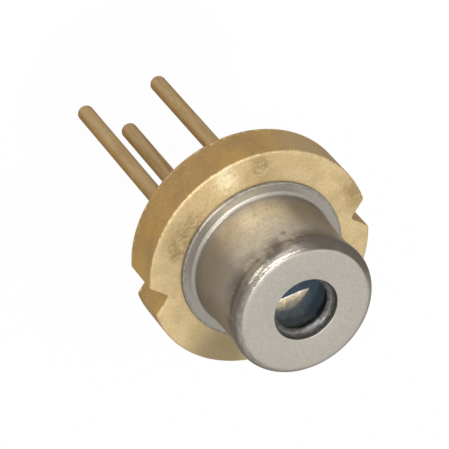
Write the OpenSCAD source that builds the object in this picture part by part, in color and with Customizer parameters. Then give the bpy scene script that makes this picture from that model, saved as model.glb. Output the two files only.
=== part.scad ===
// Laser diode in a round metal can with a window and three leads.
// The origin is the centre of the stem's front face, which is the face that a holder locates.
// +Z is the way the beam leaves, and the leads run down -Z.

/* [Stem] */
// Diameter of the stem disc
stem_d = 5.6; // [5.2:0.1:6.4]
// Thickness of the stem disc
stem_t = 1.15; // [0.9:0.05:1.6]
// Broken edge round both faces of the stem
stem_edge = 0.08; // [0.02:0.01:0.12]
// Depth of the two vee notches below the rim
notch_depth = 0.4; // [0.2:0.05:0.5]
// Angle between the walls of a vee notch
notch_angle = 90; // [60:5:120]
// Radius at the root of a vee notch
notch_root_r = 0.06; // [0.02:0.01:0.12]
// Width of the index slot
slot_w = 1; // [0.6:0.1:1.4]
// Depth of the index slot below the rim
slot_depth = 0.4; // [0.2:0.05:0.5]
// Diameter of the two holes that the insulated leads pass through
eyelet_d = 0.9; // [0.7:0.05:0.95]

/* [Leads] */
// Diameter of each lead
lead_d = 0.41; // [0.3:0.01:0.5]
// Length of each lead below the stem's back face
lead_len = 7.05; // [4:0.05:12]
// Diameter of the circle on which the leads stand
lead_circle_d = 2; // [1.9:0.05:2.2]
// Height of the two insulated leads above the stem's front face
lead_post_h = 0.35; // [0.2:0.05:0.6]
// Radius that rounds the free end of a lead
lead_tip_r = 0.13; // [0.05:0.01:0.14]
// Depth of the hollow in each glass seal, front and back
seal_dip = 0.06; // [0.02:0.01:0.12]
// Leg of the brazed fillet round the common lead
braze_leg = 0.16; // [0.08:0.02:0.24]

/* [Cap] */
// Height of the cap over the stem's front face
cap_h = 2.4; // [2.2:0.05:3]
// Diameter of the cap's front end
cap_d = 3.5; // [3.3:0.05:3.7]
// Diameter of the barrel where it leaves the flange
cap_foot_d = 3.48; // [3.3:0.02:3.7]
// Diameter of the barrel at its narrowest
cap_neck_d = 3.4; // [3.2:0.02:3.6]
// Length of the swelling between the neck and the front end
cap_lip_len = 0.26; // [0.1:0.02:0.4]
// Length of the narrow neck behind that swelling
cap_neck_len = 0.3; // [0.1:0.05:0.6]
// Radius of the cap's front edge
cap_corner_r = 0.25; // [0.1:0.01:0.3]
// Radius inside that edge
cap_inner_corner_r = 0.1; // [0.05:0.01:0.15]
// Wall of the cap's barrel
cap_wall = 0.2; // [0.1:0.02:0.26]
// Wall of the cap's front
cap_front_t = 0.25; // [0.15:0.01:0.35]
// Diameter of the weld flange
flange_d = 4.06; // [3.9:0.02:4.4]
// Thickness of the weld flange
flange_t = 0.12; // [0.08:0.01:0.2]
// Radius between the flange and the barrel
flange_fillet = 0.09; // [0.05:0.01:0.12]
// Broken edge of the flange and of the aperture
cap_edge = 0.02; // [0.01:0.005:0.03]

/* [Window] */
// Diameter of the aperture in the cap's front
aperture_d = 1.58; // [1.2:0.02:1.7]
// Diameter of the window glass
glass_d = 2.5; // [2.2:0.05:2.7]
// Thickness of the window glass
glass_t = 0.25; // [0.15:0.01:0.3]
// Thickness of the solder glass between the window and the cap
solder_t = 0.03; // [0.02:0.005:0.05]
// Width of the solder glass that shows inside the aperture
solder_lip = 0.13; // [0.06:0.01:0.16]
// Height to which that solder glass climbs the aperture wall
solder_climb = 0.12; // [0.05:0.01:0.14]
// Leg of the solder glass fillet round the window's edge
solder_leg = 0.14; // [0.06:0.01:0.14]

/* [Heat sink] */
// Width of the heat sink block
sink_w = 1.2; // [0.9:0.05:1.3]
// Height of the heat sink block
sink_h = 1.3; // [1.2:0.05:1.5]
// Radius of the block's round back, from the can's axis
sink_back_r = 1.3; // [1.1:0.05:1.4]
// Chamfer along the block's top front edge
sink_chamfer = 0.03; // [0.02:0.01:0.06]

/* [Chips] */
// Width of the laser chip
laser_w = 0.25; // [0.15:0.05:0.3]
// Thickness of the laser chip
laser_t = 0.1; // [0.08:0.01:0.14]
// Length of the laser chip along the beam
laser_len = 0.6; // [0.3:0.05:0.7]
// Width of the submount
submount_w = 0.7; // [0.6:0.05:0.9]
// Thickness of the submount
submount_t = 0.24; // [0.16:0.02:0.3]
// Length of the submount along the beam
submount_len = 0.8; // [0.7:0.05:0.9]
// Distance of the submount's and the laser chip's front facets below the top of the block
facet_drop = 0.03; // [0:0.01:0.06]
// Side of the square monitor photodiode
photodiode_w = 0.7; // [0.4:0.05:0.7]
// Thickness of the monitor photodiode
photodiode_t = 0.28; // [0.15:0.01:0.3]
// Gap between the photodiode and the heat sink block
photodiode_gap = 0.07; // [0.03:0.01:0.12]

/* [Bond wires] */
// Diameter of the gold bond wires
wire_d = 0.03; // [0.02:0.005:0.05]
// Diameter of the bonds at a wire's two ends
bond_d = 0.08; // [0.05:0.005:0.1]
// Rise of a wire's loop over the place that it leaves
wire_loop = 0.3; // [0.15:0.05:0.45]

/* [Hidden] */

$fn = 96;
// Material cut away beyond a face, so that no cut ends on it
over = 0.5;
// Steps in a quarter turn of a rounded outline
arc_steps = 6;
// Steps along each half of the barrel's outline
barrel_steps = 8;
// Steps along a bond wire, sides of its section, and the share of it that a bond tapers over
wire_steps = 18;
wire_sides = 8;
bond_share = 0.12;

stem_r = stem_d / 2;
eyelet_r = eyelet_d / 2;
lead_r = lead_d / 2;
lead_x = lead_circle_d / 2;
lead_end = -stem_t - lead_len;
aperture_r = aperture_d / 2;
glass_r = glass_d / 2;
ceiling = cap_h - cap_front_t;
glass_top = ceiling - solder_t;
cap_inner_r = cap_neck_d / 2 - cap_wall;
// The solder fillet round the window ends where the cap's inner corner starts
solder_fillet = min(solder_leg, cap_inner_r - cap_inner_corner_r - glass_r);
// The beam leaves on the axis, from the laser chip's outer face, so the block's face stands back by both chips
laser_y = 0;
submount_y = laser_y - laser_t;
sink_y = submount_y - submount_t;
facet_z = sink_h - facet_drop;

// Points along an arc about centre c
function arc(c, r, from, to, steps = arc_steps) =
    [for (i = [0:steps]) let (a = from + (to - from) * i / steps) c + r * [cos(a), sin(a)]];

// Height and radius along the barrel: it narrows from the foot to the neck and swells to the front end
barrel_foot = flange_t + flange_fillet;
lip_top = cap_h - cap_corner_r;
lip_base = lip_top - cap_lip_len;
neck_base = lip_base - cap_neck_len;
function barrel_r(z) =
    z < neck_base
        ? cap_neck_d / 2 + (cap_foot_d - cap_neck_d) / 2 * pow((neck_base - z) / (neck_base - barrel_foot), 2)
    : z < lip_base
        ? cap_neck_d / 2
    : cap_neck_d / 2 + (cap_d - cap_neck_d) / 4 * (1 - cos(180 * (z - lip_base) / cap_lip_len));
function barrel_line(from, to) =
    [for (i = [1:barrel_steps - 1]) let (z = from + (to - from) * i / barrel_steps) [barrel_r(z), z]];

// Outline of a vee notch that opens along +X, with its round root at notch_depth below the rim
module vee_notch() {
    half = notch_angle / 2;
    root = [stem_r - notch_depth + notch_root_r, 0];
    reach = notch_depth + over;
    wall = reach * [cos(half), sin(half)];
    corner = root + notch_root_r * [cos(90 + half), sin(90 + half)];
    translate([0, 0, -stem_t - over])
        linear_extrude(stem_t + 2 * over)
            polygon(concat(
                [corner + wall],
                arc(root, notch_root_r, 90 + half, 270 - half),
                [[corner.x + wall.x, -corner.y - wall.y]]
            ));
}

module stem() color("goldenrod") difference() {
    rotate_extrude()
        polygon([
            [0, -stem_t], [stem_r - stem_edge, -stem_t], [stem_r, stem_edge - stem_t],
            [stem_r, -stem_edge], [stem_r - stem_edge, 0], [0, 0]
        ]);
    for (side = [0, 180])
        rotate([0, 0, side]) {
            vee_notch();
            translate([lead_x, 0, -stem_t - over])
                cylinder(r = eyelet_r, h = stem_t + 2 * over);
        }
    translate([-slot_w / 2, -stem_r - over, -stem_t - over])
        cube([slot_w, slot_depth + over, stem_t + 2 * over]);
}

// A block with a round back, standing on the stem
module heat_sink() color("gold") intersection() {
    cylinder(r = sink_back_r, h = sink_h);
    translate([-sink_w / 2, 0, 0])
        rotate([90, 0, 90])
            linear_extrude(sink_w)
                polygon([
                    [-sink_back_r - over, 0], [sink_y, 0], [sink_y, sink_h - sink_chamfer],
                    [sink_y - sink_chamfer, sink_h], [-sink_back_r - over, sink_h]
                ]);
}

module submount() color("slategray")
    translate([-submount_w / 2, sink_y, facet_z - submount_len])
        cube([submount_w, submount_t, submount_len]);

module laser_chip() color("dimgray")
    translate([-laser_w / 2, submount_y, facet_z - laser_len])
        cube([laser_w, laser_t, laser_len]);

module photodiode_chip() color("darkslateblue")
    translate([-photodiode_w / 2, sink_y + photodiode_gap, 0])
        cube([photodiode_w, photodiode_w, photodiode_t]);

// A round lead along the Z axis with a rounded free end
module lead(top) color("goldenrod")
    rotate_extrude()
        polygon(concat(
            [[0, top], [lead_r, top]],
            arc([lead_r - lead_tip_r, lead_end + lead_tip_r], lead_tip_r, 0, -90),
            [[0, lead_end]]
        ));

module lead_laser() translate([-lead_x, 0, 0]) lead(lead_post_h);

module lead_monitor() translate([lead_x, 0, 0]) lead(lead_post_h);

module lead_common() translate([0, -lead_x, 0]) lead(-stem_t);

// Glass round a lead, hollowed front and back between the lead and the eyelet's wall
module glass_seal() color("darkolivegreen") {
    gap = eyelet_r - lead_r;
    hollow = [for (i = [0:arc_steps]) [i / arc_steps, seal_dip * sin(180 * i / arc_steps)]];
    rotate_extrude()
        polygon(concat(
            [for (p = hollow) [lead_r + gap * p[0], -p[1]]],
            [for (p = hollow) [eyelet_r - gap * p[0], p[1] - stem_t]]
        ));
}

module seal_laser() translate([-lead_x, 0, 0]) glass_seal();

module seal_monitor() translate([lead_x, 0, 0]) glass_seal();

// Hollow fillet of braze where the common lead meets the stem's back face
module braze_ring() color("darkgoldenrod")
    translate([0, -lead_x, 0])
        rotate_extrude()
            polygon(concat(
                [[lead_r, -stem_t]],
                arc([lead_r + braze_leg, -stem_t - braze_leg], braze_leg, 90, 180)
            ));

// Drawn can: weld flange, waisted barrel and a flat front with the aperture
module cap() color("silver")
    rotate_extrude()
        polygon(concat(
            [[cap_inner_r, 0], [flange_d / 2 - cap_edge, 0], [flange_d / 2, cap_edge]],
            [[flange_d / 2, flange_t - cap_edge], [flange_d / 2 - cap_edge, flange_t]],
            arc([cap_foot_d / 2 + flange_fillet, barrel_foot], flange_fillet, -90, -180),
            barrel_line(barrel_foot, neck_base),
            [[barrel_r(neck_base), neck_base], [barrel_r(lip_base), lip_base]],
            barrel_line(lip_base, lip_top),
            arc([cap_d / 2 - cap_corner_r, lip_top], cap_corner_r, 0, 90),
            [[aperture_r + cap_edge, cap_h], [aperture_r, cap_h - cap_edge], [aperture_r, ceiling]],
            arc([cap_inner_r - cap_inner_corner_r, ceiling - cap_inner_corner_r], cap_inner_corner_r, 90, 0)
        ));

// Solder glass: a film over the window, a fillet round its edge and a hollow rim inside the aperture
module window_solder() color("dimgray")
    rotate_extrude()
        polygon(concat(
            [for (i = [0:arc_steps]) let (a = 90 * i / arc_steps)
                [aperture_r - solder_lip * (1 - sin(a)), glass_top + (solder_t + solder_climb) * (1 - cos(a))]],
            [[aperture_r, ceiling]],
            arc([glass_r + solder_fillet, ceiling - solder_fillet], solder_fillet, 90, 180),
            [[glass_r, glass_top]]
        ));

module window_glass() color([0.35, 0.45, 0.6, 0.6])
    translate([0, 0, glass_top - glass_t])
        cylinder(r = glass_r, h = glass_t);

// A cubic curve from p to q that leaves p along u and reaches q against v
function wire_point(p, u, q, v, t) =
    pow(1 - t, 3) * p + 3 * t * pow(1 - t, 2) * (p + u) + 3 * t * t * (1 - t) * (q + v) + pow(t, 3) * q;
function wire_way(p, u, q, v, t) =
    pow(1 - t, 2) * u + 2 * t * (1 - t) * (q + v - p - u) - t * t * v;
function unit(v) = v / norm(v);
function wire_r(t) = wire_d / 2 + (bond_d - wire_d) / 2 * max(0, 1 - min(t, 1 - t) / bond_share);

// A bond wire swept along that curve, thicker where it is bonded
module bond_wire(p, u, q, v) color("gold") {
    steady = [0, 1, 1];
    points = [for (i = [0:wire_steps])
        let (
            t = i / wire_steps,
            way = unit(wire_way(p, u, q, v, t)),
            across = unit(cross(way, steady)),
            up = cross(across, way)
        )
        for (k = [0:wire_sides - 1])
            wire_point(p, u, q, v, t)
                + wire_r(t) * (across * cos(360 * k / wire_sides) + up * sin(360 * k / wire_sides))];
    ring = [for (k = [0:wire_sides - 1]) k];
    sides = [for (i = [0:wire_steps - 1], k = ring)
        let (next = (k + 1) % wire_sides, a = i * wire_sides, b = a + wire_sides)
        [a + k, a + next, b + next, b + k]];
    last = wire_steps * wire_sides;
    polyhedron(
        points,
        concat(sides, [[for (k = ring) wire_sides - 1 - k]], [[for (k = ring) last + k]])
    );
}

// From the laser chip's outer face to the top of its lead
module wire_laser()
    bond_wire(
        [0, laser_y, facet_z - laser_len / 2], [0, wire_loop, 0],
        [-lead_x, 0, lead_post_h], [0, 0, 2 * wire_loop]
    );

// From the submount's metal, beside the chip, to the heat sink block
module wire_submount()
    bond_wire(
        [(laser_w + submount_w) / 4, submount_y, facet_z - submount_len / 2], [0, wire_loop, 0],
        [(submount_w + sink_w) / 4, sink_y, facet_z - submount_len / 2], [0, wire_loop + submount_t, 0]
    );

// From the photodiode's front pad to the top of its lead
module wire_monitor()
    bond_wire(
        [photodiode_w / 4, sink_y + photodiode_gap + photodiode_w * 3 / 4, photodiode_t], [0, 0, wire_loop],
        [lead_x, 0, lead_post_h], [0, 0, wire_loop]
    );

stem();
heat_sink();
submount();
laser_chip();
photodiode_chip();
lead_laser();
lead_monitor();
lead_common();
seal_laser();
seal_monitor();
braze_ring();
cap();
window_solder();
window_glass();
wire_laser();
wire_submount();
wire_monitor();
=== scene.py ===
from math import cos, pi, radians, sin

import bmesh
import bpy
import numpy as np
from mathutils import Matrix, Quaternion, Vector


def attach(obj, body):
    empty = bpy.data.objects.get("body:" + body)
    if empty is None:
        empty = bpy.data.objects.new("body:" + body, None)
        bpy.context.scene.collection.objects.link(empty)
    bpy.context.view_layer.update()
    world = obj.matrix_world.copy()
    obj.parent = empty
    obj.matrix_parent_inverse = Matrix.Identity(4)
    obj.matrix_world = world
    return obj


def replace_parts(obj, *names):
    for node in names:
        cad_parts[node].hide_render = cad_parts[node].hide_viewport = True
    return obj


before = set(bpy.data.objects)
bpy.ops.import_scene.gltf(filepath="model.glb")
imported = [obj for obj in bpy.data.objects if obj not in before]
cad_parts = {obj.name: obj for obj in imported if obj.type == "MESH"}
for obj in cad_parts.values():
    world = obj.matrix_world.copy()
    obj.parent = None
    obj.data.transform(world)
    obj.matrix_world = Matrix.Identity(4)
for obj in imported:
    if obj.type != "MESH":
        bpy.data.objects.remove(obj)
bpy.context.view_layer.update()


# ---------------------------------------------------------------------------------------- Stem
# The base of the can: a thick disc pressed from steel, with a slot and two vee notches that turn
# it the right way in a holder, and gold plated all over once the leads are glassed in. The plate is
# satin on the front, duller and browner on the pressed rim, with painted glints along its edges and a painted
# shadow of the cap on the face.
MM = 0.001
stem_r, stem_t = 2.8, 1.15
back_edge, front_edge = 0.1, 0.055
notch_mouth, notch_apex, notch_root_r = (2.7718, 0.3967), 2.3751, 0.09
slot_half, slot_floor, slot_mouth = 0.5, 2.4, 2.755
corner_r = 0.1
face_r = 2.1
lead_r, lead_ring, eyelet_r = 0.205, 1.0, 0.45


def arc(centre, radius, start, stop, steps):
    """Points on a circle: centre + radius * (cos a, sin a), as a goes from start to stop in degrees."""
    a = np.radians(np.linspace(start, stop, steps + 1))
    return np.asarray(centre) + radius * np.stack([np.cos(a), np.sin(a)], 1)


def rounded(corners, radii, steps=6):
    """A line with its corners rounded: the arc of radius r touches both sides r / tan(half the corner's
    angle) away from the corner, and its points turn evenly from one touching point to the other."""
    corners = np.asarray(corners, float)
    made = []
    for k, r in enumerate(radii):
        if not r:
            made.append(corners[k : k + 1])
            continue
        sides = corners[[k - 1, (k + 1) % len(corners)]] - corners[k]
        sides /= np.linalg.norm(sides, axis=1)[:, None]
        half = np.arccos(sides[0] @ sides[1]) / 2
        middle = sides.sum(0) / np.linalg.norm(sides.sum(0)) * r / np.sin(half)
        spokes = sides * r / np.tan(half) - middle
        turn = pi - 2 * half
        share = np.linspace(0, 1, steps + 1)[:, None]
        swung = np.sin((1 - share) * turn) * spokes[0] + np.sin(share * turn) * spokes[1]
        made.append(corners[k] + middle + swung / np.sin(turn))
    return np.concatenate(made)


def raised(line, z):
    """A flat line (n, 2) lifted to the height z, or to one height for each of its points."""
    return np.concatenate([line, np.broadcast_to(z, line.shape[:1])[:, None]], 1)


def between(first, last, rows):
    """A grid whose rows go straight from one line of points to another: first + share * (last - first)."""
    share = np.linspace(0, 1, rows + 1)[:, None, None]
    return first + share * (last - first)


def lathe(profile, turns=192, at=(0, 0)):
    """A profile of (radius, height) points turned about an upright axis: (r cos a, r sin a, z) on a grid."""
    a = np.radians(np.linspace(0, 360, turns + 1))
    r, z = np.asarray(profile, float).T[:, :, None]
    return np.stack([at[0] + r * np.cos(a), at[1] + r * np.sin(a), z + 0 * a], 2)


def piece(name, sheets, finish, slot, *nodes, sharp=35):
    """One closed mesh from grids of points: every four neighbours of a grid are a face, points that lie
    together are welded, and the faces are turned outwards, where the volume they enclose is positive."""
    points = np.concatenate([s.reshape(-1, 3) for s in sheets]) * MM
    faces, start = [], 0
    for rows, columns in (s.shape[:2] for s in sheets):
        k = start + np.arange(rows * columns).reshape(rows, columns)
        faces.append(np.stack([k[:-1, :-1], k[:-1, 1:], k[1:, 1:], k[1:, :-1]], 2).reshape(-1, 4))
        start += rows * columns
    mesh = bpy.data.meshes.new(name)
    mesh.from_pydata(points, [], np.concatenate(faces))
    shape = bmesh.new()
    shape.from_mesh(mesh)
    bmesh.ops.remove_doubles(shape, verts=shape.verts, dist=2e-8)
    bmesh.ops.recalc_face_normals(shape, faces=shape.faces)
    if shape.calc_volume(signed=True) < 0:
        bmesh.ops.reverse_faces(shape, faces=shape.faces)
    shape.to_mesh(mesh)
    shape.free()
    mesh.shade_smooth()
    mesh.set_sharp_from_angle(angle=radians(sharp))
    mesh.materials.append(finish.material)
    made = bpy.data.objects.new(name, mesh)
    bpy.context.scene.collection.objects.link(made)
    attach(made, "root")
    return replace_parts(made, *nodes)


class Value:
    """A shader socket to reckon with: + - * / and ** on it add Math nodes to its material."""

    def __init__(self, finish, socket):
        self.finish, self.socket = finish, socket

    def maths(self, operation, *terms):
        return self.finish.node("Math", {"operation": operation}, dict(enumerate(terms)))

    def __add__(self, other):
        return self.maths("ADD", self, other)

    def __sub__(self, other):
        return self.maths("SUBTRACT", self, other)

    def __rsub__(self, other):
        return self.maths("SUBTRACT", other, self)

    def __mul__(self, other):
        return self.maths("MULTIPLY", self, other)

    def __truediv__(self, other):
        return self.maths("DIVIDE", self, other)

    def __rtruediv__(self, other):
        return self.maths("DIVIDE", other, self)

    def __pow__(self, other):
        return self.maths("POWER", self, other)

    __radd__, __rmul__ = __add__, __mul__


class Finish:
    """A material with one Principled shader. node() adds any other node, with its settings before its
    sockets, and at, x, y, z and r are the place on the piece in millimetres, r out from the can's axis."""

    def __init__(self, name, **sockets):
        self.material = bpy.data.materials.new(name)
        self.material.use_nodes = True
        self.tree = self.material.node_tree
        self.shader = self.tree.nodes["Principled BSDF"]
        place = self.node("TexCoord", out="Object")
        self.at = self.node("VectorMath", {"operation": "SCALE"}, {0: place, "Scale": 1 / MM})
        self.x, self.y, self.z = (self.node("SeparateXYZ", sockets={0: self.at}, out=k) for k in range(3))
        self.r = (self.x**2 + self.y**2) ** 0.5
        self.set(sockets)

    def feed(self, socket, value):
        if isinstance(value, Value):
            self.tree.links.new(value.socket, socket)
        else:
            socket.default_value = (*value, 1) if socket.type == "RGBA" else value

    def set(self, sockets):
        for name, value in sockets.items():
            self.feed(self.shader.inputs[name.replace("_", " ").title().replace("Ior", "IOR")], value)

    def node(self, kind, settings=(), sockets=(), out=0):
        made = self.tree.nodes.new("ShaderNode" + kind)
        for name, value in dict(settings).items():
            setattr(made, name, value)
        for name, value in dict(sockets).items():
            self.feed(made.inputs[name], value)
        return Value(self, made.outputs[out])

    def noise(self, scale, detail=3, rough=0.5, stretch=(1, 1, 1), shift=0):
        """Noise of about scale patches to a millimetre, drawn out by stretch and moved by shift."""
        place = self.node("Mapping", {}, {0: self.at, 1: (shift,) * 3, 3: stretch})
        sockets = {"Vector": place, "Scale": scale, "Detail": detail, "Roughness": rough}
        return self.node("TexNoise", {}, sockets)

    def step(self, value, low, high):
        """0 below low, 1 above high and a smooth rise between them."""
        return self.node("MapRange", {"interpolation_type": "SMOOTHSTEP"}, {0: value, 1: low, 2: high})

    def band(self, value, low, full, fade, high):
        """0 below low, 1 from full to fade and 0 above high, smooth between."""
        return self.step(value, low, full) * (1 - self.step(value, fade, high))

    def near(self, place, inner, outer):
        """1 within inner of a place, and 0 beyond outer."""
        away = self.node("VectorMath", {"operation": "DISTANCE"}, {0: self.at, 1: place}, out=1)
        return 1 - self.step(away, inner, outer)

    def mix(self, share, first, second):
        """first where share is 0 and second where it is 1."""
        return self.node("Mix", {"data_type": "RGBA"}, {0: share, 6: first, 7: second}, out=2)

    def bump(self, height, depth):
        """Relief of height, 0 to 1, on a surface: depth is in millimetres."""
        return self.node("Bump", {}, {"Distance": depth * MM, "Height": height})


slot_side = [(0, -slot_floor), (slot_half, -slot_floor), (slot_half, -slot_mouth)]
notch = [(notch_mouth[0], -notch_mouth[1]), (notch_apex, 0), notch_mouth]
past_slot, past_notch = 77.5, 10.5  # where the round rim starts, in degrees from the notches' diameter
lower_rim = arc((0, 0), stem_r, -past_slot, -past_notch, 84)
upper_rim = arc((0, 0), stem_r, past_notch, 90, 100)
round_lower, round_upper = [0] * len(lower_rim), [0] * len(upper_rim)
half_outline = rounded(
    np.concatenate([slot_side, lower_rim, notch, upper_rim]),
    [0, corner_r, corner_r, *round_lower, corner_r, notch_root_r, corner_r, *round_upper],
)
outline = np.concatenate([half_outline, half_outline[-2:0:-1] * (-1, 1)])
outline = np.concatenate([outline, outline[:1]])

# Outward normal of the outline: halfway between its two neighbouring sides, turned by a quarter.
side = np.diff(outline, axis=0)
side /= np.linalg.norm(side, axis=1)[:, None]
normal = side + np.roll(side, 1, axis=0)
normal = np.stack([normal[:, 1], -normal[:, 0]], 1) / np.linalg.norm(normal, axis=1)[:, None]
normal = np.concatenate([normal, normal[:1]])

# The rim's section as (distance inside the outline, height), carried round the outline.
section = np.concatenate([
    arc((back_edge, back_edge - stem_t), back_edge, -90, -180, 8),
    np.stack([np.zeros(7), np.linspace(back_edge - stem_t, -front_edge, 9)[1:-1]], 1),
    arc((front_edge, -front_edge), front_edge, 180, 90, 8),
])
rim = np.stack([raised(outline - normal * inset, z) for inset, z in section])

# Each face runs in from the outline to a circle, with angles counted from the slot. On the circle half the
# slot's floor takes floor_fan degrees and a wall wall_fan more, and the rim evens that out up to fan_end.
floor_fan, wall_fan, mouth_angle, fan_end = 12, 4, 10.2, 40
x, y = np.abs(half_outline[:, 0]), half_outline[:, 1]
polar = np.degrees(np.arctan2(x, -y))
swept = np.where(
    (x <= slot_half + 1e-6) & (y < 0),
    floor_fan * x / slot_half + wall_fan * (-slot_floor - y) / (slot_mouth - slot_floor),
    np.interp(polar, [mouth_angle, fan_end, 180], [floor_fan + wall_fan, fan_end, 180]),
)
swept[-1] = 180
swept = np.radians(np.concatenate([swept, 360 - swept[-2::-1]]))
circle = face_r * np.stack([np.sin(swept), -np.cos(swept)], 1)

# The middle of each face: lines from an eyelet's edge to the edge of its half of the circle.
right = circle[: len(half_outline)]
across = np.stack([np.zeros(41), np.linspace(face_r, -face_r, 41)], 1)
half_edge = np.concatenate([right, across[1:]])
spokes = half_edge - (lead_ring, 0)
eyelet = (lead_ring, 0) + eyelet_r * spokes / np.linalg.norm(spokes, axis=1)[:, None]
sheets = [rim]
for z, row in ((-stem_t, rim[0]), (0, rim[-1])):
    sheets.append(between(row, raised(circle, z), 6))
    for hand in (1, -1):
        sheets.append(between(raised(eyelet * (hand, 1), z), raised(half_edge * (hand, 1), z), 6))
for hand in (1, -1):
    wall = eyelet * (hand, 1)
    sheets.append(between(raised(wall, -stem_t), raised(wall, 0), 4))

gold = Finish("stem_gold_plate", specular_tint=(0.5, 0.42, 0.3), specular_ior_level=0.2)
mottle = gold.noise(2.1, 6, 0.62)
blotch = gold.noise(0.9, 3, 0.5, shift=7)
grain = gold.noise(26, 3, 0.6)
scuff = gold.noise(9, 5, 0.7, stretch=(1, 1, 0.35), shift=3)
flecks = gold.noise(13, 4, 0.72, shift=11)

# The front face: granular satin gold, tarnished brown in places, with a painted glint near the cap where the
# plate is also polished, and a painted shadow of the cap on its lower side.
face = gold.mix(gold.step(mottle, 0.4, 0.64), (0.685, 0.522, 0.29), (0.575, 0.436, 0.23))
face = gold.mix(gold.step(grain, 0.35, 0.65) * 0.45, face, (0.42, 0.315, 0.15))
face = gold.mix(gold.step(flecks, 0.52, 0.7) * 0.4, face, (0.82, 0.68, 0.43))
tarnish = gold.near((0.45, 2.38, 0), 0.05, 0.6)
tarnish = tarnish + gold.near((-1.5, 1.6, 0), 0.1, 0.6) + gold.near((-1.92, 1.15, 0), 0.1, 0.55)
face = gold.mix(tarnish * gold.step(flecks + mottle * 0.8, 0.72, 1.05) * 0.85, face, (0.3, 0.225, 0.1))
# Painted highlight: two bright glint patches near the cap, where the plate is also made smoother.
polish_and_painted_glint = gold.near((-0.46, 2.48, 0), 0.03, 0.48) * gold.step(scuff + mottle, 0.8, 1.05)
polish_and_painted_glint = polish_and_painted_glint + gold.near((-0.4, 2.14, 0), 0.02, 0.42) * gold.step(flecks + mottle, 0.7, 1.2) * 0.6
face = gold.mix(polish_and_painted_glint, face, (0.88, 0.78, 0.53))
# Painted shadow of the cap on the lower side of the face.
painted_cap_shadow = gold.near((-1.5, -2.15, 0), 0.3, 1.32)
face = gold.mix(painted_cap_shadow * 0.82, face, (0.25, 0.195, 0.11))
browned = gold.near((2.6, 0.72, 0), 0.1, 0.72) * gold.step(flecks + mottle, 0.7, 1.1)
face = gold.mix(browned * 0.8, face, (0.3, 0.2, 0.085))

# The rim: browner, with a painted grazing reflection that greys one side, redder towards another, darker in
# one place, and a broken painted glint near its back edge.
edge = gold.mix(gold.step(blotch, 0.4, 0.62), (0.33, 0.21, 0.085), (0.375, 0.23, 0.078))
edge = gold.mix(gold.step(mottle, 0.4, 0.68) * 0.7, edge, (0.27, 0.17, 0.072))
edge = gold.mix(gold.step(flecks, 0.5, 0.72) * 0.45, edge, (0.47, 0.335, 0.18))
# Painted reflection: a grazing reflection that greys the rim on one side.
edge = gold.mix(gold.near((1.7, 2.3, -0.5), 0.2, 1.3) * 0.5, edge, (0.4, 0.31, 0.185))
edge = gold.mix(gold.near((-2.75, 0.4, -0.5), 0.2, 1.1) * 0.6, edge, (0.46, 0.3, 0.11))
edge = gold.mix(gold.near((2.4, 1.45, -0.4), 0.2, 0.9) * 0.5, edge, (0.24, 0.165, 0.08))
over_back = gold.z + stem_t
# Painted highlight: a broken glint along the rounding of the back edge.
painted_back_glint = gold.band(over_back, 0.06, 0.08, 0.12, 0.16) * gold.step(scuff + flecks, 0.94, 1.16)
edge = gold.mix(painted_back_glint * 0.7, edge, (0.66, 0.52, 0.31))

# The edge between them: chipped brown in places, and elsewhere painted bright as the glint of its rounding.
front = gold.step(gold.z, -0.035, -0.012)
lip = gold.band(gold.z, -0.05, -0.03, -0.012, -0.002)
# The edge's colour: chipped brown, and elsewhere a painted glint.
chips_and_painted_glint = gold.mix(gold.step(scuff + flecks * 0.5, 0.56, 0.92), (0.33, 0.23, 0.11), (0.66, 0.52, 0.3))
gold.set({
    "base_color": gold.mix(lip * 0.8, gold.mix(front, edge, face), chips_and_painted_glint),
    "metallic": 0.65 - front * 0.2,
    "roughness": 0.36 + mottle * 0.16 - polish_and_painted_glint * 0.1,
    "normal": gold.bump(grain * 0.6 + flecks * 0.6 + mottle + scuff * 0.4, 0.013),
})
piece("stem", sheets, gold, "stem_gold", "stem")


# --------------------------------------------------------------------------------------- Leads
# Three round wires of an iron and nickel alloy that seals to glass. Two pass through the stem in glass
# and stand a little above its front face, the third is brazed on behind. Their free ends are tumbled
# round, and the thin gold over the drawn wire is streaked with brown along its length. One side of each
# is painted browner as shade, and each is darker towards the stem.
lead_end, lead_top, tip_r = -8.2, 0.35, 0.13
lead_places = {"lead_laser": (-lead_ring, 0), "lead_monitor": (lead_ring, 0), "lead_common": (0, -lead_ring)}

for name, place in lead_places.items():
    top = -stem_t if name == "lead_common" else lead_top
    head = 0 if name == "lead_common" else 0.02
    profile = rounded([(0, lead_end), (lead_r, lead_end), (lead_r, top), (0, top)], [0, tip_r, head, 0], 10)
    shaft = Finish(name + "_plate", metallic=0.7, specular_tint=(0.3, 0.22, 0.14), specular_ior_level=0.2)
    streak = shaft.noise(7, 4, 0.6, stretch=(1, 1, 0.07), shift=place[0] + 2)
    spots = shaft.noise(5, 5, 0.65, shift=place[0])
    fine = shaft.noise(30, 2, 0.5)
    # Painted shade: one side of each lead is painted browner.
    painted_shade_side = ((shaft.x - place[0]) * -0.9 + (shaft.y - place[1]) * -0.43) / lead_r
    near_stem = shaft.step(shaft.z, -5.8, -2.6)
    coat = shaft.mix(shaft.step(painted_shade_side, 0.05, 0.75), (0.41, 0.288, 0.15), (0.33, 0.207, 0.078))
    coat = shaft.mix(near_stem * 0.4, coat, (0.27, 0.18, 0.08))
    coat = shaft.mix(shaft.step(streak, 0.46, 0.64) * 0.5, coat, (0.27, 0.175, 0.072))
    coat = shaft.mix(shaft.step(spots, 0.5, 0.7) * 0.3, coat, (0.52, 0.385, 0.22))
    shaft.set({
        "base_color": coat,
        "roughness": 0.34 + spots * 0.16,
        "normal": shaft.bump(streak + fine * 0.25, 0.01),
    })
    piece(name, [lathe(profile, 64, place)], shaft, "lead_gold", name)


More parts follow.
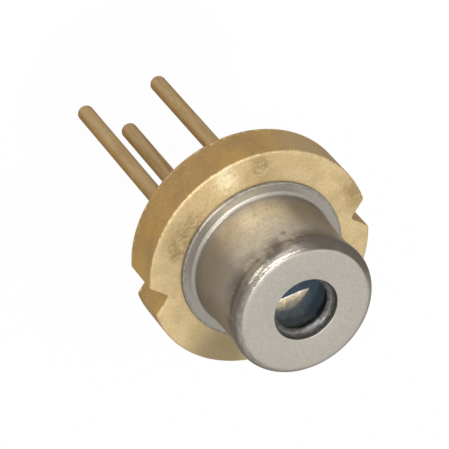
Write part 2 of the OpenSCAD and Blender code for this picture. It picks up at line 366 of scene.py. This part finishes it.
# --------------------------------------------------------------------------------- Glass seals
# Beads of dark sealing glass, melted in place round the two insulated leads. Between the lead and the
# eyelet the melt sinks into a shallow ring on both faces, and it keeps a fire polish with fine bubbles.
seal_dip = 0.06
share = np.linspace(0, 1, 17)
hollow = np.stack([lead_r + (eyelet_r - lead_r) * share, -seal_dip * np.sin(pi * share)], 1)
seal_profile = np.concatenate([hollow, hollow[::-1] * (1, -1) - (0, stem_t), hollow[:1]])

for name in ("laser", "monitor"):
    melt = Finish("seal_glass_" + name, ior=1.52)
    swirl = melt.noise(4, 4, 0.5)
    bubble = melt.node("TexVoronoi", {"feature": "F1"}, {"Vector": melt.at, "Scale": 18})
    melt.set({
        "base_color": melt.mix(swirl, (0.02, 0.035, 0.03), (0.06, 0.08, 0.065)),
        "roughness": 0.08 + swirl * 0.12,
        "normal": melt.bump(melt.step(bubble, 0.05, 0.2), 0.003),
    })
    place = lead_places["lead_" + name]
    piece("seal_" + name, [lathe(seal_profile, 96, place)], melt, "seal_glass", "seal_" + name)


# ---------------------------------------------------------------------------------- Braze ring
# The hollow fillet that the braze leaves where it creeps out round the common lead, behind the stem.
# It is plated with the rest, over a slightly rippled, frozen surface.
braze_leg = 0.16
foot = arc((lead_r + braze_leg, -stem_t - braze_leg), braze_leg, 90, 180, 12)
braze = Finish("braze_plate", metallic=1)
ripple = braze.noise(6, 4, 0.55)
braze.set({
    "base_color": braze.mix(ripple, (0.36, 0.24, 0.1), (0.5, 0.36, 0.18)),
    "roughness": 0.3 + ripple * 0.2,
    "normal": braze.bump(ripple, 0.015),
})
braze_profile = np.concatenate([foot, [(lead_r, -stem_t)], foot[:1]])
piece("braze_ring", [lathe(braze_profile, 96, lead_places["lead_common"])], braze, "braze", "braze_ring")


# --------------------------------------------------------------------------------- Heat sink
# The copper block that carries the chip, brazed to the stem inside the can and gold plated. It is
# coined, so its top rolls over a little towards the flat front face, and its back is round.
sink_half, sink_back, sink_face, sink_h = 0.6, 1.3, -0.34, 1.3
roll_from, roll_drop, sink_edge, sink_skew = -0.85, 0.08, 0.025, 0.04


def block(low, high, edge, steps=4):
    """A box with rounded edges as grids: a cube's six faces, each point moved to its nearest place in
    the box shrunk by edge, and from there out by edge along the line that joins the two."""
    low, high = np.array(low, float), np.array(high, float)
    made = []
    for axis in range(3):
        spans = []
        for k in range(3):
            turn = np.radians(np.linspace(0, 45, steps + 1))
            ramp = edge * (1 - np.tan(turn[::-1]))
            spans.append(np.concatenate([low[k] + ramp, high[k] - ramp[::-1]]))
        u, v = [k for k in range(3) if k != axis]
        for face in (low, high):
            grid = np.empty((len(spans[u]), len(spans[v]), 3))
            grid[..., u], grid[..., v] = spans[u][:, None], spans[v][None, :]
            grid[..., axis] = face[axis]
            core = np.clip(grid, low + edge, high - edge)
            out = grid - core
            made.append(core + out / np.linalg.norm(out, axis=2)[..., None] * edge)
    return made


# The block's plan is its front, two sides and round back; its height falls from roll_from to the front.
back_corner = -((sink_back**2 - sink_half**2) ** 0.5)
back_angle = np.degrees(np.arctan2(back_corner, sink_half))
plan = rounded(
    np.concatenate([
        [(-sink_half, sink_face + sink_skew), (-sink_half, back_corner)],
        arc((0, 0), sink_back, -180 - back_angle, back_angle, 24)[1:-1],
        [(sink_half, back_corner), (sink_half, sink_face - sink_skew)],
    ]),
    [sink_edge, sink_edge] + [0] * 23 + [sink_edge, sink_edge],
    4,
)
plan = np.concatenate([plan, plan[:1]])
way = np.diff(plan, axis=0)
way /= np.linalg.norm(way, axis=1)[:, None]
out = way + np.roll(way, 1, axis=0)
out = np.stack([out[:, 1], -out[:, 0]], 1) / np.linalg.norm(out, axis=1)[:, None]
out = np.concatenate([out, out[:1]])


def sink_top(line):
    """Height of the block's top: it falls as the square of the way from roll_from to the front face."""
    return sink_h - roll_drop * (np.clip(line[:, 1] - roll_from, 0, None) / (sink_face - roll_from)) ** 2


rings = [raised(plan, 0)] + [raised(plan, sink_top(plan) * k / 6 - sink_edge * (k == 6)) for k in range(1, 7)]
for inset, drop in arc((sink_edge, -sink_edge), sink_edge, 180, 90, 5)[1:]:
    inner = plan - out * inset
    rings.append(raised(inner, sink_top(inner) + drop))
middle = np.array([0, -0.78])
for k in np.linspace(0, 1, 17)[1:]:
    inner = (plan - out * sink_edge) * (1 - k) + middle * k
    rings.append(raised(inner, sink_top(inner)))
rings.insert(0, raised(plan * 0 + middle, 0))

sink = Finish("sink_gold_plate", metallic=1)
lumps = sink.noise(7, 5, 0.65)
speck = sink.near((-0.163, -0.86, sink_h), 0.012, 0.035)
# Painted shade: darker towards one back corner of the top, outside the light through the window.
painted_shade_patch = sink.near((0.66, -0.95, sink_h), 0.15, 0.45) * sink.step(sink.z, 1.0, 1.2)
# Painted highlight: a near-white line along the front edge of the top.
painted_edge_glint = sink.step(sink.y, sink_face - 0.075, sink_face - 0.04) * sink.step(sink.z, 1.15, 1.2)
plate = sink.mix(sink.step(lumps, 0.42, 0.62), (1.0, 0.78, 0.45), (0.76, 0.53, 0.27))
plate = sink.mix(painted_edge_glint, plate, (1.0, 0.95, 0.82))
sink.set({
    "base_color": sink.mix(painted_shade_patch, plate, (0.3, 0.27, 0.22)),
    "roughness": 0.3 + lumps * 0.12,
    "normal": sink.bump(lumps + speck * 4, 0.01),
})
piece("heat_sink", [np.stack(rings)], sink, "sink_gold", "heat_sink")


# ------------------------------------------------------------------------------------- Chips
# The laser is a cleaved bar of semiconductor, soldered face down on a polished silicon submount, which
# is soldered to the block. The monitor photodiode lies below, on the stem, to catch the rear beam: its
# square light-sensitive window is coated blue inside a metal frame.
submount_y, laser_y, facet_z = -0.10, 0.0, 1.27
laser_half, laser_len, submount_half, submount_len = 0.125, 0.6, 0.35, 0.8
diode_half, diode_y, diode_t, diode_frame = 0.35, sink_face + 0.07, 0.28, 0.07

carrier = Finish("submount_silicon", ior=2.2)
pad = carrier.step(carrier.y, submount_y - 0.004, submount_y - 0.002)
saw = carrier.noise(16, 3, 0.6, stretch=(0.15, 1, 1))
bare = carrier.mix(saw, (0.03, 0.035, 0.045), (0.07, 0.075, 0.09))
carrier.set({
    "base_color": carrier.mix(pad, bare, (0.85, 0.62, 0.3)),
    "metallic": pad,
    "roughness": 0.12 + saw * 0.2,
    "normal": carrier.bump(saw, 0.003),
})
piece(
    "submount",
    block((-submount_half, sink_face, facet_z - submount_len), (submount_half, submount_y, facet_z), 0.008),
    carrier, "silicon", "submount",
)

chip = Finish("laser_semiconductor", ior=2.5)
metal = chip.step(chip.y, laser_y - 0.004, laser_y - 0.002)
stripe = chip.noise(40, 2, 0.5, stretch=(1, 1, 0.1))
bare = chip.mix(stripe, (0.05, 0.045, 0.05), (0.1, 0.09, 0.09))
chip.set({
    "base_color": chip.mix(metal, bare, (0.8, 0.6, 0.3)),
    "metallic": metal,
    "roughness": 0.15 + stripe * 0.2,
    "normal": chip.bump(stripe, 0.002),
})
piece(
    "laser_chip",
    block((-laser_half, submount_y, facet_z - laser_len), (laser_half, laser_y, facet_z), 0.006),
    chip, "laser_chip", "laser_chip",
)

diode = Finish("photodiode_silicon", ior=2.2)
diode_middle = diode_y + diode_half
off = diode.node("Math", {"operation": "MAXIMUM"}, {
    0: diode.node("Math", {"operation": "ABSOLUTE"}, {0: diode.x}),
    1: diode.node("Math", {"operation": "ABSOLUTE"}, {0: diode.y - diode_middle}),
})
window_half, blur = diode_half - diode_frame, 0.005
border = diode.step(off, window_half - blur, window_half + blur)
film = diode.noise(5, 3, 0.5)
blue = diode.mix(film, (0.01, 0.02, 0.09), (0.02, 0.05, 0.16))
diode.set({
    "base_color": diode.mix(border, blue, (0.42, 0.4, 0.37)),
    "metallic": border,
    "roughness": 0.08 + film * 0.1 + border * 0.15,
    "normal": diode.bump(border, 0.004),
})
piece(
    "photodiode_chip",
    block((-diode_half, diode_y, 0), (diode_half, diode_y + 2 * diode_half, diode_t), 0.008),
    diode, "photodiode", "photodiode_chip",
)


# -------------------------------------------------------------------------------- Bond wires
# Fine gold wires, bonded by heat and ultrasound: one from the chip to its lead, one from the submount to
# the block, one from the photodiode to its lead. Each is squashed wider where it is bonded.
wire_r, bond_r, loop, bond_share = 0.015, 0.04, 0.3, 0.12


def bond_wire(start, leave, end, arrive):
    """A tube round the cubic curve from start to end that leaves along leave and comes in against arrive;
    its radius falls from bond_r to wire_r over the first and last bond_share, and its ends close on it."""
    p, u, q, v = (np.array(a, float) for a in (start, leave, end, arrive))
    t = np.concatenate([[0], np.linspace(0, 1, 61), [1]])[:, None]
    path = (1 - t) ** 3 * p + 3 * t * (1 - t) ** 2 * (p + u) + 3 * t * t * (1 - t) * (q + v) + t**3 * q
    along = (1 - t) ** 2 * u + 2 * t * (1 - t) * (q + v - p - u) - t * t * v
    along /= np.linalg.norm(along, axis=1)[:, None]
    sideways = np.cross(along, (0, 1, 1))
    sideways /= np.linalg.norm(sideways, axis=1)[:, None]
    upward = np.cross(sideways, along)
    near_end = np.clip(1 - np.minimum(t, 1 - t) / bond_share, 0, 1)
    radius = wire_r + (bond_r - wire_r) * near_end**2 * (3 - 2 * near_end)
    radius[[0, -1]] = 0
    a = np.radians(np.linspace(0, 360, 17))[:, None]
    ring = np.cos(a) * sideways[:, None] + np.sin(a) * upward[:, None]
    return [path[:, None] + radius[:, None] * ring]


wire = Finish("bond_gold_wire", metallic=1)
drawn = wire.noise(20, 3, 0.5)
wire.set({
    "base_color": wire.mix(drawn, (0.78, 0.58, 0.25), (0.95, 0.75, 0.4)),
    "roughness": 0.2 + drawn * 0.15,
    "normal": wire.bump(drawn, 0.001),
})
pad_x, land_x = (laser_half + submount_half) / 2, (submount_half + sink_half) / 2
wire_z, pad_step = facet_z - submount_len / 2, submount_y - sink_face
for name, way in {
    "laser": (
        (0, laser_y, facet_z - laser_len / 2), (0, loop, 0),
        (-lead_ring, 0, lead_top), (0, 0, 2 * loop),
    ),
    "submount": (
        (pad_x, submount_y, wire_z), (0, loop, 0),
        (land_x, sink_face, wire_z), (0, loop + pad_step, 0),
    ),
    "monitor": (
        (diode_half / 2, diode_y + diode_half * 1.5, diode_t), (0, 0, loop),
        (lead_ring, 0, lead_top), (0, 0, loop),
    ),
}.items():
    piece("wire_" + name, bond_wire(*way), wire, "bond_gold", "wire_" + name)


# --------------------------------------------------------------------------------------- Cap
# A can drawn from thin steel and plated with satin nickel, then resistance welded to the stem by its
# flange. The barrel is slightly waisted, the front edge full and round. Handling and the heat of the
# weld leave it brownish and smudged; a dark reflection is painted in a band behind that edge, and a
# highlight on one side. The front face stays clean and even.
cap_h, cap_r, neck_r, foot_r, cap_inner_r = 2.4, 1.75, 1.70, 1.74, 1.5
cap_corner, cap_ceiling, aperture_r, cap_edge = 0.25, 2.15, 0.79, 0.02
flange_r, flange_t, flange_fillet = 2.03, 0.12, 0.09
inner_corner, web_r = 0.1, 1.2
barrel_foot, neck_base, lip_base, lip_top = 0.21, 1.59, 1.89, 2.15


def barrel(z):
    """The barrel's radius: it narrows with the square of the way to the neck, stays, and swells on half a
    cosine wave to the front edge."""
    narrowing = (foot_r - neck_r) * (np.clip(neck_base - z, 0, None) / (neck_base - barrel_foot)) ** 2
    swelling = (cap_r - neck_r) / 2 * (1 - np.cos(pi * np.clip((z - lip_base) / (lip_top - lip_base), 0, 1)))
    return neck_r + narrowing + swelling


heights = np.linspace(barrel_foot, lip_top, 61)[1:-1]
flange = rounded(
    [(cap_inner_r, 0), (flange_r, 0), (flange_r, flange_t), (foot_r + flange_fillet, flange_t)],
    [0, 0.02, 0.035, 0],
)
cap_profile = np.concatenate([
    flange[:-1],
    arc((foot_r + flange_fillet, barrel_foot), flange_fillet, -90, -180, 12),
    np.stack([barrel(heights), heights], 1),
    arc((cap_r - cap_corner, lip_top), cap_corner, 0, 90, 20),
    rounded(
        [(web_r, cap_h), (aperture_r, cap_h), (aperture_r, cap_ceiling), (web_r, cap_ceiling)],
        [0, cap_edge, 0, 0],
    ),
    arc((cap_inner_r - inner_corner, cap_ceiling - inner_corner), inner_corner, 90, 0, 8),
    flange[:1],
])

nickel = Finish("cap_nickel_plate", metallic=0.75, specular_tint=(0.5, 0.47, 0.42), specular_ior_level=0.2)
cloud = nickel.noise(1.6, 5, 0.6)
smear = nickel.noise(3.4, 5, 0.65, stretch=(1, 1, 0.6), shift=5)
satin = nickel.noise(34, 2, 0.5)
pits = nickel.noise(12, 4, 0.7, shift=9)
speckle = nickel.noise(16, 4, 0.7, shift=2)
rub = nickel.noise(8, 5, 0.7, stretch=(0.7, 0.7, 3), shift=4)

# The barrel: brownish, with a painted highlight on one side and a painted highlight spot on it, and a painted
# dark reflection band behind the front edge.
# Painted highlight: the barrel and flange are painted brighter on one side.
painted_bright_side = nickel.step((nickel.y * 0.98 - nickel.x * 0.17) / nickel.r + cloud * 0.06, 0.8, 1.0)
dim = nickel.mix(nickel.step(nickel.z, 0.2, 1.0), (0.33, 0.295, 0.245), (0.265, 0.232, 0.19))
warm = nickel.mix(painted_bright_side, dim, (0.47, 0.415, 0.325))
# Painted highlight: a bright warm spot on that side of the barrel.
warm = nickel.mix(nickel.near((-0.04, 1.72, 0.72), 0.1, 0.85), warm, (0.66, 0.585, 0.46))
warm = nickel.mix(nickel.step(smear, 0.46, 0.7) * 0.25, warm, (0.24, 0.205, 0.165))
warm = nickel.mix(nickel.step(pits + satin * 0.4, 0.66, 0.86) * 0.35, warm, (0.2, 0.175, 0.14))
# Painted reflection: a dark band behind the front edge, stronger in patches.
painted_dark_band = nickel.step(nickel.z + cloud * 0.4, 1.68, 2.2) * (1 - nickel.step(nickel.z, 2.26, 2.33))
painted_dark_band = painted_dark_band * (1 - nickel.near((1.4, 1.0, 1.9), 0.2, 1.0) * 0.5)
painted_dark_band = painted_dark_band * (0.35 + nickel.step(smear + cloud, 0.85, 1.08) * 0.5)
warm = nickel.mix(painted_dark_band, warm, (0.11, 0.097, 0.083))
spots = nickel.near((0.09, 1.7, 1.64), 0.02, 0.11) + nickel.near((-0.15, 1.69, 1.73), 0.01, 0.09)
warm = nickel.mix(spots * nickel.step(pits, 0.35, 0.6) * 0.7, warm, (0.12, 0.1, 0.08))

# The flange: cleaner, brighter on one side as a painted highlight, with a rougher brim that is painted darker
# as shade except in one place, where its glint is left.
foot_ring = 1 - nickel.step(nickel.z, 0.13, 0.3)
# The brim is painted darker as shade all round, except in one place where its glint is left.
brim_glint_kept = nickel.step((nickel.y * 0.87 - nickel.x * 0.49) / nickel.r + pits * 0.03, 0.985, 1.003)
dull_and_shaded_brim = nickel.step(nickel.r, 1.94, 1.985) * (1 - brim_glint_kept)
brim_coat = nickel.mix(nickel.step(pits, 0.4, 0.6), (0.22, 0.205, 0.18), (0.32, 0.3, 0.265))
foot_coat = nickel.mix(painted_bright_side, (0.33, 0.305, 0.27), (0.38, 0.355, 0.31))
foot_coat = nickel.mix(dull_and_shaded_brim, foot_coat, brim_coat)
coat = nickel.mix(foot_ring, warm, foot_coat)

# The front: clean satin, with the round corner rubbed in streaks and smudged on one side.
clean = nickel.mix(nickel.step(speckle, 0.3, 0.7), (0.385, 0.357, 0.314), (0.45, 0.42, 0.37))
coat = nickel.mix(nickel.step(nickel.z, 2.3, 2.385), coat, clean)
smudged = nickel.near((1.25, 1.2, 2.28), 0.7, 1.6) * nickel.band(nickel.z, 2.1, 2.2, 2.388, 2.398)
coat = nickel.mix(smudged * (0.7 + smear * 0.5), coat, (0.1, 0.088, 0.074))
corner = nickel.band(nickel.z, 2.1, 2.2, 2.37, 2.395)
coat = nickel.mix(corner * (0.24 + nickel.step(rub, 0.42, 0.62) * 0.36), coat, (0.12, 0.106, 0.088))
front = nickel.step(nickel.z, 2.37, 2.395)

# The inside is painted dark grey as shade, so that it stays dark.
within = (1 - nickel.step(nickel.r, 1.5, 1.6)) * (1 - nickel.step(nickel.z, 2.14, 2.16))
nickel.set({
    "base_color": nickel.mix(within, coat, (0.16, 0.155, 0.15)),
    "roughness": 0.32 + cloud * 0.06 + front * 0.1 - corner * 0.16 + dull_and_shaded_brim * foot_ring * 0.14,
    "normal": nickel.bump(satin * 0.3 + pits * 0.7 + speckle * 0.5 + cloud, 0.007),
})
piece("cap", [lathe(cap_profile, 320)], nickel, "cap_nickel", "cap")


# ------------------------------------------------------------------------------------- Window
# A disc of glass with an anti-reflection coating that looks blue, sealed under the cap's front with dark
# solder glass. The solder fills the joint, rings the glass in a fillet behind, and climbs the wall of the
# aperture in a smooth hollow rim that shows in front.
glass_r, glass_top, glass_t = 1.25, 2.12, 0.25
solder_lip, solder_rise, solder_leg = 0.13, 0.15, 0.14
quarter = np.radians(np.linspace(0, 90, 17))
rim_line = np.stack([
    aperture_r - solder_lip * (1 - np.sin(quarter)),
    glass_top + solder_rise * (1 - np.cos(quarter)),
], 1)
solder_profile = np.concatenate([
    rim_line,
    [(aperture_r, cap_ceiling)],
    arc((glass_r + solder_leg, cap_ceiling - solder_leg), solder_leg, 90, 180, 10),
    [(glass_r, glass_top)],
    rim_line[:1],
])
solder = Finish("solder_glass", ior=1.6, metallic=0.35, coat_roughness=0.1, coat_ior=1.7)
flow = solder.noise(5, 4, 0.6)
scum = solder.step(solder.noise(9, 5, 0.7, shift=3), 0.4, 0.62)
# The outer part of the rim is glossier, and painted lighter as a reflection.
outer = solder.step(solder.r, 0.69, 0.77)
inner_glass = solder.mix(scum, (0.02, 0.019, 0.018), (0.075, 0.066, 0.056))
outer_painted_sheen = solder.mix(scum, (0.11, 0.103, 0.095), (0.21, 0.2, 0.185))
solder.set({
    "base_color": solder.mix(outer, inner_glass, outer_painted_sheen),
    "roughness": 0.2 + flow * 0.2 + scum * 0.12,
    "coat_weight": 0.1 + outer * (0.6 - scum * 0.3),
    "normal": solder.bump(flow, 0.012),
})
piece("window_solder", [lathe(solder_profile, 256)], solder, "solder_glass", "window_solder")

glass_profile = rounded(
    [(0, glass_top - glass_t), (glass_r, glass_top - glass_t), (glass_r, glass_top), (0, glass_top)],
    [0, 0.01, 0.01, 0], 3,
)
coating = Finish("window_coated_glass", metallic=1)
haze = coating.noise(3, 4, 0.6)
coating.set({
    "base_color": coating.mix(haze, (0.19, 0.28, 0.39), (0.25, 0.35, 0.44)),
    "roughness": 0.03 + haze * 0.05,
    "normal": coating.bump(haze, 0.0005),
})
clear = coating.node("BsdfTransparent", {}, {0: (0.965, 0.98, 0.99)})
window = coating.node("MixShader", {}, {0: 0.1, 1: clear, 2: Value(coating, coating.shader.outputs[0])})
coating.tree.links.new(window.socket, coating.tree.nodes["Material Output"].inputs["Surface"])
piece("window_glass", [lathe(glass_profile, 192)], coating, "window_glass", "window_glass")


# --------------------------------------------------------------------------------- Floor and light
# A plain white floor under the leads' tips, pale walls all round and soft rectangular lamps. The white
# that the camera sees in floor and walls also shows in metal and glass, and the floor keeps the shadow.
floor_half, floor_z = 3.0, lead_end - 0.02  # the half side in metres, the height in millimetres
floor_mesh = bpy.data.meshes.new("floor")
corners = [(-1, -1), (1, -1), (1, 1), (-1, 1)]
floor_mesh.from_pydata([(x * floor_half, y * floor_half, floor_z * MM) for x, y in corners], [], [range(4)])
floor = bpy.data.objects.new("floor", floor_mesh)
bpy.context.scene.collection.objects.link(floor)


def seen_white(tree, plain, white_share):
    """A shader that is plain, and for rays from the camera, metal or glass is white by white_share."""
    path = tree.nodes.new("ShaderNodeLightPath")
    seen = path.outputs["Is Camera Ray"]
    for name in ("Is Glossy Ray", "Is Transmission Ray"):
        add = tree.nodes.new("ShaderNodeMath")
        add.operation, add.use_clamp = "ADD", True
        tree.links.new(seen, add.inputs[0])
        tree.links.new(path.outputs[name], add.inputs[1])
        seen = add.outputs[0]
    share = tree.nodes.new("ShaderNodeMath")
    share.operation, share.inputs[1].default_value = "MULTIPLY", white_share
    tree.links.new(seen, share.inputs[0])
    sky = plain.bl_idname == "ShaderNodeBackground"
    white = tree.nodes.new("ShaderNodeBackground" if sky else "ShaderNodeEmission")
    white.inputs["Color"].default_value = (1, 1, 1, 1)
    both = tree.nodes.new("ShaderNodeMixShader")
    tree.links.new(share.outputs[0], both.inputs[0])
    tree.links.new(plain.outputs[0], both.inputs[1])
    tree.links.new(white.outputs[0], both.inputs[2])
    return both


paint = bpy.data.materials.new("floor_white")
paint.use_nodes = True
paint.node_tree.nodes.clear()
matt = paint.node_tree.nodes.new("ShaderNodeBsdfDiffuse")
matt.inputs["Color"].default_value = (0.9, 0.9, 0.9, 1)
surface = paint.node_tree.nodes.new("ShaderNodeOutputMaterial")
paint.node_tree.links.new(seen_white(paint.node_tree, matt, 0.96).outputs[0], surface.inputs["Surface"])
floor_mesh.materials.append(paint)

walls = bpy.data.worlds.new("pale_walls")
walls.use_nodes = True
pale = walls.node_tree.nodes["Background"]
pale.inputs["Color"].default_value = (1, 0.99, 0.97, 1)
pale.inputs["Strength"].default_value = 0.5
walls.node_tree.links.new(
    seen_white(walls.node_tree, pale, 1.0).outputs[0], walls.node_tree.nodes["World Output"].inputs["Surface"]
)
bpy.context.scene.world = walls

# Camera, at the height and turn from which the can is usually shown: window and leads both in view.
aim = Vector((-0.1217, -0.0517, -1.7681)) * MM
azimuth, elevation, roll, distance = radians(113.0), radians(50.2), radians(139.06), 82.211 * MM
back = Vector((cos(elevation) * cos(azimuth), cos(elevation) * sin(azimuth), sin(elevation)))
camera = bpy.data.objects.new("camera", bpy.data.cameras.new("camera"))
camera.data.lens, camera.data.sensor_width = 280.5, 36
camera.data.clip_start, camera.data.clip_end = 0.01, 100
camera.location = aim + distance * back
camera.rotation_mode = "QUATERNION"
camera.rotation_quaternion = (-back).to_track_quat("-Z", "Y") @ Quaternion((0, 0, 1), roll)
bpy.context.scene.collection.objects.link(camera)
bpy.context.scene.camera = camera
turned = camera.rotation_quaternion.to_matrix()


def lamp(name, way, size, radiance, reach=120):
    """A soft rectangular lamp, reach away along way, which is given as right, up and towards the camera.
    Its power is radiance * pi * area, so that radiance is how bright it looks in a mirror."""
    light = bpy.data.lights.new(name, "AREA")
    light.shape, light.size, light.size_y = "RECTANGLE", size[0] * MM, size[1] * MM
    light.energy = radiance * pi * light.size * light.size_y
    stand = bpy.data.objects.new(name, light)
    out = (turned @ Vector(way)).normalized()
    up = turned.col[1] - out * turned.col[1].dot(out)
    up.normalize()
    stand.matrix_world = Matrix.LocRotScale(
        out * reach * MM, Matrix((up.cross(out), up, out)).transposed().to_quaternion(), None
    )
    stand.visible_camera = False
    bpy.context.scene.collection.objects.link(stand)


lamp("key", (-0.60, 0.28, 0.75), (20, 62), 12.0)
lamp("top", (0.24, -0.03, 0.97), (96, 26), 8.0)
lamp("rim", (0.16, 0.86, 0.48), (40, 16), 3.0)
lamp("sky", (0.05, 0.55, 0.83), (90, 60), 1.0)
lamp("window", (0.4, -0.463, 0.791), (9, 9), 125.0)

bpy.context.scene.view_settings.view_transform = "Standard"
